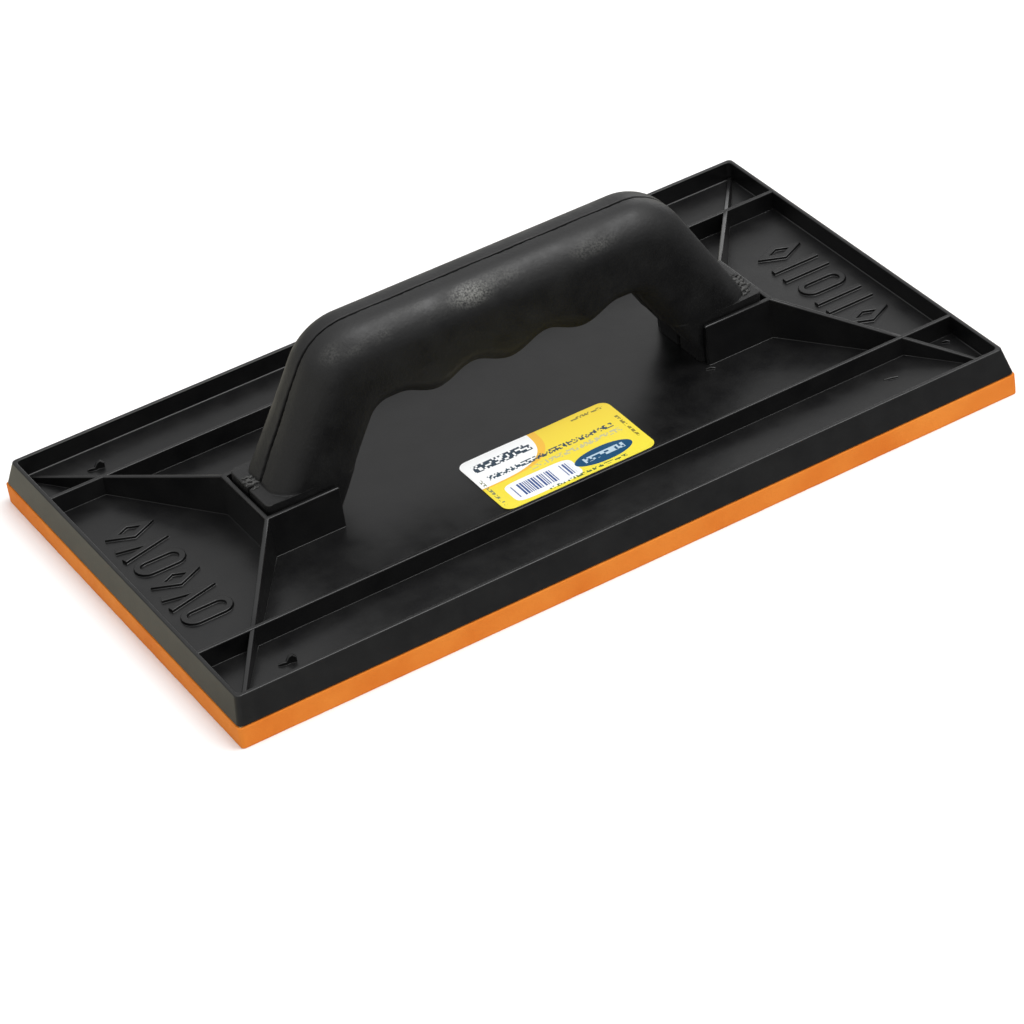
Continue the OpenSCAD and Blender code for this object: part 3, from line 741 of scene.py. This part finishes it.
def oval(u, v, half_u, half_v, power=2.0):
    """1 where the distances from (u, v), in half lengths and half widths, to a power add up to less than 1; a
    higher power squares the oval's ends."""
    terms = []
    for share, middle, half in ((along, u, half_u), (up, v, half_v)):
        off = add_node(tree, "ShaderNodeMath", {0: share, 1: 1 / half, 2: -middle / half},
                       operation="MULTIPLY_ADD")
        off = add_node(tree, "ShaderNodeMath", {0: off.outputs[0]}, operation="ABSOLUTE")
        terms.append(add_node(tree, "ShaderNodeMath", {0: off.outputs[0], 1: power}, operation="POWER"))
    total = add_node(tree, "ShaderNodeMath",
                     {0: terms[0].outputs[0], 1: terms[1].outputs[0]}, operation="ADD")
    return add_node(tree, "ShaderNodeMath", {0: total.outputs[0], 1: 1.0}, operation="LESS_THAN").outputs[0]


def print_row(u0, u1, v0, v1, cell_u, cell_v, fill):
    """Random cells of cell_u by cell_v millimetres inside a field, of which about a share fill is printed."""
    counts = (label_l / cell_u, label_w / cell_v, 0)
    cells = add_node(tree, "ShaderNodeVectorMath", {0: print_uv, 1: counts}, operation="MULTIPLY")
    cell = add_node(tree, "ShaderNodeVectorMath", {0: cells.outputs[0]}, operation="FLOOR")
    chance = add_node(tree, "ShaderNodeTexWhiteNoise", {"Vector": cell.outputs[0]})
    chosen = add_node(tree, "ShaderNodeMath", {0: chance.outputs["Value"], 1: fill}, operation="LESS_THAN")
    row = add_node(tree, "ShaderNodeMath", {0: field(u0, u1, v0, v1), 1: chosen.outputs[0]},
                   operation="MULTIPLY")
    return row.outputs[0]


# The inks in the order they are laid down: an orange border and the white corner, the bars' white box and the
# bars, two bold rows, a pale row, the blue oval with its row, and small print along the four edges.
inks = [(oval(0.08, 1.0, 0.44, 0.54, 3.0), "#f6bf3c"),
        (oval(0.04, 1.0, 0.43, 0.52, 3.0), "#fbfcfc"),
        (oval(0.315, 0.22, 0.22, 0.17, 6.0), "#f4f6fa"),
        (print_row(0.125, 0.505, 0.12, 0.33, 0.32, 40, 0.42), "#33508a"),
        (print_row(0.055, 0.43, 0.75, 0.88, 0.62, 0.8, 0.6), "#1b3446"),
        (print_row(0.08, 0.905, 0.56, 0.635, 0.5, 0.6, 0.5), "#2c4556"),
        (print_row(0.32, 0.92, 0.44, 0.51, 0.6, 0.7, 0.5), "#c9c38f"),
        (oval(0.715, 0.225, 0.188, 0.128), "#0f4a70"),
        (print_row(0.58, 0.85, 0.185, 0.27, 0.7, 0.8, 0.6), "#b9d0de"),
        (print_row(0.74, 0.955, 0.90, 0.94, 0.5, 0.6, 0.5), "#8d8030"),
        (print_row(0.30, 0.81, 0.035, 0.075, 0.5, 0.6, 0.5), "#55683c"),
        (print_row(0.955, 0.975, 0.25, 0.7, 0.6, 0.5, 0.5), "#8d8030"),
        (print_row(0.02, 0.04, 0.1, 0.62, 0.6, 0.5, 0.5), "#7d8462")]
yellow = add_node(tree, "ShaderNodeValToRGB", {"Fac": up})
yellow.color_ramp.elements[0].color = linear("#f2e348")
yellow.color_ramp.elements[1].color = linear("#f5d636")
printed = yellow.outputs["Color"]
for mask, hex_colour in inks:
    over = add_node(tree, "ShaderNodeMix", data_type="RGBA")
    tree.links.new(mask, over.inputs["Factor"])
    tree.links.new(printed, over.inputs["A"])
    over.inputs["B"].default_value = linear(hex_colour)
    printed = over.outputs["Result"]
tree.links.new(printed, shader.inputs["Base Color"])
shader.inputs["Roughness"].default_value = 0.28
shader.inputs["IOR"].default_value = 1.5
label.data.materials.append(paper)
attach(label, "root")
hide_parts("label")


# ---------------------------------------------------------------------------------------------------
# STUDIO. A plain white floor, a white surround that is brightest overhead, with a window low behind on the
# right, one large soft lamp, and the camera. In the plastic's gloss the floor is a grey table, paler at its
# left back.
# ---------------------------------------------------------------------------------------------------
floor_half = 4.0
floor_mesh = bpy.data.meshes.new("studio_floor")
floor_mesh.from_pydata([(x * floor_half, y * floor_half, 0) for x, y in ((-1, -1), (1, -1), (1, 1), (-1, 1))],
                       [], [(0, 1, 2, 3)])
floor = bpy.data.objects.new("studio_floor", floor_mesh)
bpy.context.scene.collection.objects.link(floor)

# Painted board: matt white, with hardly any gloss of its own.
sweep, tree, shader, place = new_material("white_sweep")
across = add_node(tree, "ShaderNodeVectorMath", {0: place, 1: (-0.65, 0.76, 0)}, operation="DOT_PRODUCT")
backward = add_node(tree, "ShaderNodeMapRange",
                    {"Value": across.outputs["Value"], "From Min": -0.05, "From Max": 0.08})
painted_reflection_tone = add_node(tree, "ShaderNodeValToRGB", {"Fac": backward.outputs["Result"]})
painted_reflection_tone.color_ramp.elements[0].color = linear("#666666")
painted_reflection_tone.color_ramp.elements[1].color = linear("#d2cebc")
# Glossy rays see the floor grey instead of white: painted shade in the plastic's reflections, paler towards
# the back left.
glossy = add_node(tree, "ShaderNodeLightPath").outputs["Is Glossy Ray"]
seen = add_node(tree, "ShaderNodeMix", data_type="RGBA")
seen.inputs["A"].default_value = linear("#fbfbfb")
tree.links.new(glossy, seen.inputs["Factor"])
tree.links.new(painted_reflection_tone.outputs["Color"], seen.inputs["B"])
tree.links.new(seen.outputs["Result"], shader.inputs["Base Color"])
shader.inputs["Roughness"].default_value = 0.9
shader.inputs["Specular IOR Level"].default_value = 0.1
floor.data.materials.append(sweep)

# The surround's strength: a smooth rise towards overhead, plus the window.
world = bpy.data.worlds.new("white_surround")
bpy.context.scene.world = world
world.use_nodes = True
tree = world.node_tree
tree.nodes.clear()
look = add_node(tree, "ShaderNodeTexCoord").outputs["Generated"]
towards = add_node(tree, "ShaderNodeVectorMath", {0: look, 1: (0.0, -0.1, 0.995)}, operation="DOT_PRODUCT")
shade = add_node(tree, "ShaderNodeMapRange",
                 {"Value": towards.outputs["Value"], "From Min": 0.3, "From Max": 1.0,
                  "To Min": 0.44, "To Max": 1.3}, interpolation_type="SMOOTHSTEP")
aside = add_node(tree, "ShaderNodeVectorMath", {0: look, 1: (0.70, 0.71, 0.08)}, operation="DOT_PRODUCT")
window = add_node(tree, "ShaderNodeMapRange",
                  {"Value": aside.outputs["Value"], "From Min": 0.89, "From Max": 0.98,
                   "To Min": 0.0, "To Max": 1.4})
light = add_node(tree, "ShaderNodeMath",
                 {0: shade.outputs["Result"], 1: window.outputs["Result"]}, operation="ADD")
sky = add_node(tree, "ShaderNodeBackground", {"Color": (1, 1, 1, 1), "Strength": light.outputs[0]})
add_node(tree, "ShaderNodeOutputWorld", {"Surface": sky.outputs[0]})
bpy.context.scene.view_settings.view_transform = "Standard"


def aim(place, target, roll=0.0):
    """Matrix of a lamp or camera at place that looks at target, turned about its line of sight by roll."""
    back = (Vector(place) - Vector(target)).normalized()
    right = Vector((0, 0, 1)).cross(back).normalized()
    above = back.cross(right)
    turned_right = right * np.cos(roll) + above * np.sin(roll)
    turned_above = above * np.cos(roll) - right * np.sin(roll)
    matrix = Matrix((turned_right, turned_above, back)).transposed().to_4x4()
    matrix.translation = Vector(place)
    return matrix


lamp_data = bpy.data.lights.new("soft_lamp", "AREA")
lamp_data.shape, lamp_data.size, lamp_data.energy = "DISK", 0.8, 10.0
lamp = bpy.data.objects.new("soft_lamp", lamp_data)
lamp.matrix_world = aim((0.47, -0.32, 1.32), (0, 0, 0))
bpy.context.scene.collection.objects.link(lamp)

azimuth, elevation, roll = np.radians([-26.38, 35.40, -8.14])
distance = 1.137
target = Vector((-0.0165, -0.0285, 0))
back = Vector((np.sin(azimuth) * np.cos(elevation), -np.cos(azimuth) * np.cos(elevation), np.sin(elevation)))
camera_data = bpy.data.cameras.new("camera")
camera_data.lens = 138.4
camera_data.sensor_width = 36.0
camera_data.clip_start = 0.05
camera = bpy.data.objects.new("camera", camera_data)
camera.matrix_world = aim(target + back * distance, target, roll)
bpy.context.scene.collection.objects.link(camera)
bpy.context.scene.camera = camera
